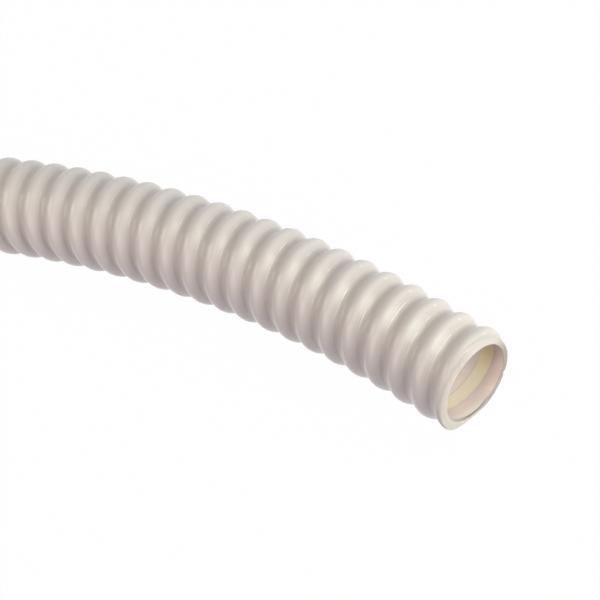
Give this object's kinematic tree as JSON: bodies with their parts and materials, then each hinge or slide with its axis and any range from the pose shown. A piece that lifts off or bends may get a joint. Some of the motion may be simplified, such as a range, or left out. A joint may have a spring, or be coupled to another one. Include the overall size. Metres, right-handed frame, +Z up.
{
  "type": "corrugated drainage pipe",
  "caption": "Flexible plastic drainage pipe with a spiral rib round the outside, a smooth bore and square cut ends, lying in a gentle bend.",
  "frame": {"origin": "centre of the bounding box in plan, on the floor that the pipe lies on", "axes": "+X along the chord of the bend, from the near cut to the far cut; +Y towards the inside of the bend; +Z up"},
  "size_m": [1.0158, 0.1914, 0.127],
  "materials": {
    "wall": "gloss"
  },
  "bodies": {
    "root": {"drainage_pipe": "wall"}
  },
  "joints": []
}
